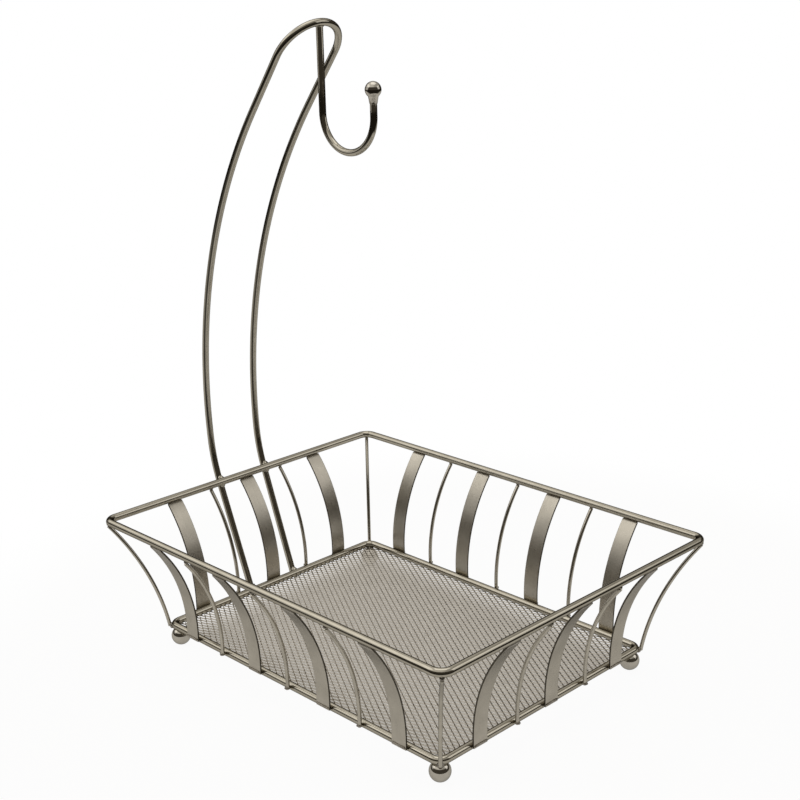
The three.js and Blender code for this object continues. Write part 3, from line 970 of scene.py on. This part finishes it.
def add_welds(name, slot, finish, beads):
    """Makes one piece of a list of beads."""
    builder = new_builder()
    for bead in beads:
        add_bead(builder, *bead)
    bmesh.ops.recalc_face_normals(builder, faces=builder.faces[:])
    add_piece(name, finished_mesh(builder, name), slot, finish)
    print(name, "beads:", len(beads))


def square_to(line, index):
    """The directions along a wall piece at a point of its line, sideways across it, and inwards."""
    along = (line[index] - line[index - 1]).normalized()
    sideways = along.cross(UP).normalized()
    return along, sideways, sideways.cross(along)


print("faces to a bead:", BEAD_STEPS * BEAD_SIDES + 2)

# %% Weld the straps to the two rings
STRAP_BEAD = 0.6 * MM
STRAP_BEAD_SHARE = 0.48
STRAP_FOOT_BEAD_RISE = 1.5 * STRAP_BEAD

strap_beads = []
for line, width in strap_lines:
    along, sideways, inwards = square_to(line, -1)
    half_axes = (STRAP_BEAD_SHARE * width * sideways, STRAP_BEAD * along, STRAP_BEAD * inwards)
    strap_beads.append((line[-1] + STRAP_BEAD / 2 * along, *half_axes, SQUARE_ENDED))
    along, sideways, inwards = square_to(line, 1)
    seam = line[1] + (STRAP_THICKNESS + WELD_GAP) / 2 * inwards
    strap_beads.append((seam + STRAP_FOOT_BEAD_RISE * along, *half_axes, SQUARE_ENDED))
add_welds("strap_welds", "strap", weld_bead, strap_beads)

# %% Weld the thin wires to the two rings
WIRE_BEAD = 1.4 * MM
WIRE_TOP_BEAD_HEIGHT = 0.9 * WIRE_BEAD
WIRE_TOP_BEAD_INSIDE = 0.7 * WIRE_BEAD
WIRE_FOOT_BEAD_HEIGHT = 0.8 * WIRE_BEAD
CORNER_BEAD = 1.9 * MM
CORNER_BEAD_DEPTH = 0.8 * CORNER_BEAD

wire_beads = []
for line in corner_lines:
    along, sideways, inwards = square_to(line, 1)
    joint = line[0] + WALL_WIRE / 2 * inwards
    half_axes = (CORNER_BEAD * along, CORNER_BEAD * sideways, CORNER_BEAD_DEPTH * inwards)
    wire_beads.append((joint, *half_axes))
for line in side_wire_lines + corner_lines:
    along, sideways, inwards = square_to(line, -1)
    joint = line[-1] + WIRE_BEAD / 2 * along + WIRE_TOP_BEAD_INSIDE * inwards
    half_axes = (WIRE_BEAD * sideways, WIRE_TOP_BEAD_HEIGHT * along, WIRE_BEAD * inwards)
    wire_beads.append((joint, *half_axes))
    along, sideways, inwards = square_to(line, 1)
    seam = line[0] + WIRE_FOOT_BEAD_HEIGHT * along + WALL_WIRE / 4 * inwards
    half_axes = (WIRE_FOOT_BEAD_HEIGHT * along, WIRE_BEAD * sideways, WIRE_BEAD * inwards)
    wire_beads.append((seam, *half_axes))
add_welds("wire_welds", "thin_wire", weld_bead, wire_beads)

# %% Weld the hanger and the hook
LEG_BEAD = 2.9 * MM
LEG_BEAD_LENGTH = 1.4 * LEG_BEAD
LEG_BEAD_DEPTH = 0.5 * LEG_BEAD
HOOK_BEAD_LENGTH = 2.7 * MM
HOOK_BEAD_WIDTH = 2.5 * MM
HOOK_BEAD_DEPTH = 0.9 * MM
NECK_BEAD_DEPTH = 0.5 * MM
FORWARDS = Vector((1, 0, 0))

leg_along = Vector((-math.sin(foot_lean), 0, math.cos(foot_lean)))
leg_inwards = Vector((math.cos(foot_lean), 0, math.sin(foot_lean)))
leg_axes = (LEG_BEAD_LENGTH * leg_along, LEG_BEAD * ACROSS, LEG_BEAD_DEPTH * leg_inwards)
heavy_beads = []
for index in (1, 2):
    for place in (back_leg[index], front_leg[-1 - index]):
        heavy_beads.append((place + (HANGER_WIRE + WELD_GAP) / 2 * leg_inwards, *leg_axes))
hook_joint = hook_line[0] + WELD_GAP / 2 * UP
hook_axes = (HOOK_BEAD_LENGTH * FORWARDS, HOOK_BEAD_WIDTH * ACROSS, HOOK_BEAD_DEPTH * UP)
heavy_beads.append((hook_joint, *hook_axes))
neck_joint = hook_end + WELD_GAP / 2 * UP
neck_axes = (HOOK_WIRE / 2 * FORWARDS, HOOK_WIRE / 2 * ACROSS, NECK_BEAD_DEPTH * UP)
heavy_beads.append((neck_joint, *neck_axes))
add_welds("hanger_welds", "heavy_wire", satin_wire, heavy_beads)

# %% Weld the feet to the base ring
FOOT_BEAD = 2.6 * MM
FOOT_BEAD_DEPTH = 1.0 * MM

foot_beads = []
for name, signs in CORNERS.items():
    ball_middle, ball_size = middle_and_size(f"ball_foot_{name}")
    ball_middle.z = math.sqrt((ball_size.x / 2) ** 2 - (FOOT_FLAT_DIAMETER / 2) ** 2)
    ring_place = corner_middle(base_middle, base_half, BASE_CORNER_RADIUS, signs)
    rise = (ring_place - ball_middle).normalized()
    level = rise.cross(Vector((signs[1], -signs[0], 0))).normalized()
    place = ball_middle + (ball_size.x + WELD_GAP) / 2 * rise
    half_axes = (FOOT_BEAD * level, FOOT_BEAD * rise.cross(level), FOOT_BEAD_DEPTH * rise)
    foot_beads.append((place, *half_axes))
add_welds("foot_welds", "ball", weld_bead, foot_beads)

# %% [markdown]
# ## The table
#
# The photograph is a cut-out on white, so the table is white to the camera, but for a faint shadow and
# the shade that shows through the net. To the metal it is a pale table with light painted on it in two
# pools, round the basket and far behind it, and painted dark elsewhere. A plain white floor would be
# simpler, but shiny wire needs something dark to mirror as well, or it loses its dark lines.

# %% Where light is painted on the table, and where it is in shade
NEAR_POOL = {"middle": Vector((0.02, 0.04, 0)), "inner": 0.27, "outer": 0.4}
FAR_POOL = {"middle": Vector((-1.2, 0.9, 0)), "inner": 1.4, "outer": 1.8}
SHADE_SHIFT = 17 * MM
SHADE_NEAR_SOFTNESS = 7 * MM
SHADE_FAR_SOFTNESS = 36 * MM


def fade(tree, value, low_at, high_at, lowest=0):
    """A number that eases from the lowest to 1 between two values."""
    return map_span(tree, value, (low_at, high_at), (lowest, 1), "SMOOTHSTEP")


def from_point(tree, point):
    """The way from a point on the table to the place that is shaded."""
    place = tree.nodes.new("ShaderNodeNewGeometry")
    return link_math(tree, "SUBTRACT", place.outputs["Position"], point, kind=VECTOR_MATH)


# Painted light: a pool where the table's colour and the glow that the metal mirrors are brighter.
def painted_pool_of_light(tree, middle, inner, outer):
    """A mask that is 1 within the inner distance of a point, and 0 beyond the outer one."""
    way = from_point(tree, middle)
    distance = link_math(tree, "LENGTH", way, kind=VECTOR_MATH, output="Value")
    return fade(tree, distance, outer, inner)


def shade_below(tree):
    """A mask that is 1 on the part of the table that the basket's floor keeps in shade."""
    parts = tree.nodes.new("ShaderNodeSeparateXYZ")
    tree.links.new(from_point(tree, base_middle), parts.inputs["Vector"])
    near_blur = SHADE_NEAR_SOFTNESS / 2
    far_blur = SHADE_FAR_SOFTNESS / 2
    shade = 1
    for axis, half, near_sign in (("X", base_half.x, 1), ("Y", base_half.y, -1)):
        nearness = link_math(tree, "MULTIPLY", parts.outputs[axis], near_sign)
        near_edge = half - SHADE_SHIFT
        far_edge = -half - SHADE_SHIFT / 2
        near_fade = fade(tree, nearness, near_edge + near_blur, near_edge - near_blur)
        far_fade = fade(tree, nearness, far_edge - far_blur, far_edge + far_blur)
        shade = link_math(tree, "MULTIPLY", shade, near_fade)
        shade = link_math(tree, "MULTIPLY", shade, far_fade)
    return shade


print("pools of light, outer distances in m:", NEAR_POOL["outer"], FAR_POOL["outer"])

# %% The table itself
TABLE_SIZE = 40
TABLE_HEIGHT = -0.05 * MM
# Painted light and dark in the table's colour, inside the pools and beyond them.
TABLE_PAINTED_DARK = (0.03, 0.027, 0.022)
TABLE_PAINTED_LIGHT = (0.7, 0.68, 0.64)
TABLE_ROUGHNESS = 0.9
SHADOW_SHARE = 0.05
SHADE_SHARE = 0.92
MIRRORED_SHARE = 0.5


def seen_straight(tree, path):
    """A mask that is 1 for what the camera sees, also through something clear."""
    rays = [path.outputs[f"Is {kind} Ray"] for kind in ("Camera", "Transmission")]
    return link_math(tree, "MAXIMUM", *rays)


def show_mix(tree, share, first, second, output):
    """Sends a mix of two shaders to a material's or a world's output."""
    mix = tree.nodes.new("ShaderNodeMixShader")
    tree.links.new(share, mix.inputs["Fac"])
    tree.links.new(first, mix.inputs[1])
    tree.links.new(second, mix.inputs[2])
    tree.links.new(mix.outputs["Shader"], tree.nodes[output].inputs["Surface"])


def table_with_painted_light():
    """A pale table: white to the camera but for the basket's shade, with light painted on it in two
    pools.
    """
    material = bpy.data.materials.new("pale_table_painted_light")
    material.use_nodes = True
    tree = material.node_tree
    near_pool = painted_pool_of_light(tree, **NEAR_POOL)
    pool = link_math(tree, "MAXIMUM", near_pool, painted_pool_of_light(tree, **FAR_POOL))
    shader = tree.nodes["Principled BSDF"]
    shader.inputs["Roughness"].default_value = TABLE_ROUGHNESS
    shader.inputs["Specular IOR Level"].default_value = 0
    # Painted light: the table's colour is light in the pools and dark beyond them.
    tone = mix_tones(tree, pool, TABLE_PAINTED_DARK, TABLE_PAINTED_LIGHT)
    tree.links.new(tone, shader.inputs["Base Color"])
    path = tree.nodes.new("ShaderNodeLightPath")
    shadow = link_math(tree, "MULTIPLY", near_pool, SHADOW_SHARE)
    shade = link_math(tree, "MULTIPLY", shade_below(tree), SHADE_SHARE)
    own = link_math(tree, "MAXIMUM", shadow, shade)
    white = link_math(tree, "SUBTRACT", 1, own)
    clear = link_math(tree, "MULTIPLY", seen_straight(tree, path), white)
    # Painted reflection: glossy rays see a glow over the pools, as if that part of the table were lit.
    painted_glow = link_math(tree, "MULTIPLY", pool, MIRRORED_SHARE)
    mirrored = link_math(tree, "MULTIPLY", path.outputs["Is Glossy Ray"], painted_glow)
    glow = tree.nodes.new("ShaderNodeEmission")
    share = link_math(tree, "MAXIMUM", clear, mirrored)
    show_mix(tree, share, shader.outputs["BSDF"], glow.outputs["Emission"], "Material Output")
    return material


half_table = TABLE_SIZE / 2
corners = [(half_table * sign_x, half_table * sign_y, TABLE_HEIGHT) for sign_x, sign_y in QUARTERS]
table_mesh = bpy.data.meshes.new("table")
table_mesh.from_pydata(corners, [], [range(len(corners))])
table_mesh.materials.append(table_with_painted_light())
table = bpy.data.objects.new("table", table_mesh)
bpy.context.scene.collection.objects.link(table)
print("table:", TABLE_SIZE, "m wide")

# %% [markdown]
# ## The room
#
# A studio has a white sweep above and behind the object, and a dark side where the camera stands. The
# wires show both: light along their tops, and dark lines where they mirror the camera's side. Cards
# and a backdrop could be modelled, but a world shader that looks at the direction alone is enough for
# something that is only ever seen in reflections. The camera itself sees plain white.

# %% Make the room
DARK_SIDE = Vector((0.7, -0.7, 0)).normalized()
DARK_SIDE_FROM = 0.1
DARK_SIDE_RISE = 0.25
SWEEP_FROM = 0.40
SWEEP_FULL = 0.52
LIGHT_SIDE = Vector((-0.7, -0.7, 0)).normalized()
LIGHT_SIDE_FROM = -0.5
LIGHT_SIDE_FULL = 0.1
FAR_SIDE_LEVEL = 0.52
ROOM_DARK = (0.075, 0.067, 0.055)
ROOM_LIT = (0.96, 0.94, 0.9)


def toward(tree, direction, side):
    """How far a direction points toward a side of the room."""
    return link_math(tree, "DOT_PRODUCT", direction, side, kind=VECTOR_MATH, output="Value")


def room_light():
    """The room: a white sweep above and behind, a dark side without lamps, and white to the camera."""
    world = bpy.data.worlds.new("room")
    world.use_nodes = True
    tree = world.node_tree
    place = tree.nodes.new("ShaderNodeTexCoord")
    direction = place.outputs["Generated"]
    beyond = link_math(tree, "SUBTRACT", toward(tree, direction, DARK_SIDE), DARK_SIDE_FROM)
    lift = link_math(tree, "MULTIPLY", link_math(tree, "MAXIMUM", beyond, 0), DARK_SIDE_RISE)
    height = link_math(tree, "SUBTRACT", toward(tree, direction, UP), lift)
    lit = fade(tree, height, SWEEP_FROM, SWEEP_FULL)
    nearness = toward(tree, direction, LIGHT_SIDE)
    level = fade(tree, nearness, LIGHT_SIDE_FROM, LIGHT_SIDE_FULL, FAR_SIDE_LEVEL)
    tone = mix_tones(tree, link_math(tree, "MULTIPLY", lit, level), ROOM_DARK, ROOM_LIT)
    room = tree.nodes["Background"]
    tree.links.new(tone, room.inputs["Color"])
    white = tree.nodes.new("ShaderNodeBackground")
    white.inputs["Color"].default_value = (1, 1, 1, 1)
    straight = seen_straight(tree, tree.nodes.new("ShaderNodeLightPath"))
    show_mix(tree, straight, room.outputs["Background"], white.outputs["Background"], "World Output")
    return world


bpy.context.scene.world = room_light()
bpy.context.scene.view_settings.view_transform = "Standard"
print("world:", bpy.context.scene.world.name)

# %% [markdown]
# ## The lamps
#
# Three soft boxes stand round the basket: one to the right, one to the left, and one overhead. The
# room alone would light it, but flatly. The boxes put the bright streaks on the rims and the straps,
# and they are weak, because the metal mirrors them as they are.

# %% Hang the lamps
LAMP_AIM = Vector((0, 0, 0.1))


def add_lamp(name, azimuth, elevation, distance, size, power):
    """A square soft lamp that shines at the basket from an azimuth and an elevation in degrees."""
    data = bpy.data.lights.new(name, "AREA")
    data.shape = "SQUARE"
    data.size = size
    data.energy = power
    lamp = bpy.data.objects.new(name, data)
    turn = math.radians(azimuth)
    rise = math.radians(elevation)
    level = Vector((math.cos(turn), math.sin(turn), 0))
    away = math.cos(rise) * level + math.sin(rise) * UP
    lamp.location = LAMP_AIM + distance * away
    lamp.rotation_euler = (-away).to_track_quat("-Z", "Y").to_euler()
    lamp.visible_camera = False
    bpy.context.scene.collection.objects.link(lamp)


add_lamp("right_lamp", azimuth=43, elevation=30, distance=1.5, size=0.85, power=2.0)
add_lamp("left_lamp", azimuth=-147, elevation=36, distance=1.0, size=0.92, power=1.8)
add_lamp("overhead_lamp", azimuth=120, elevation=80, distance=1.5, size=1.0, power=3.0)
print("lamps:", len(bpy.data.lights))
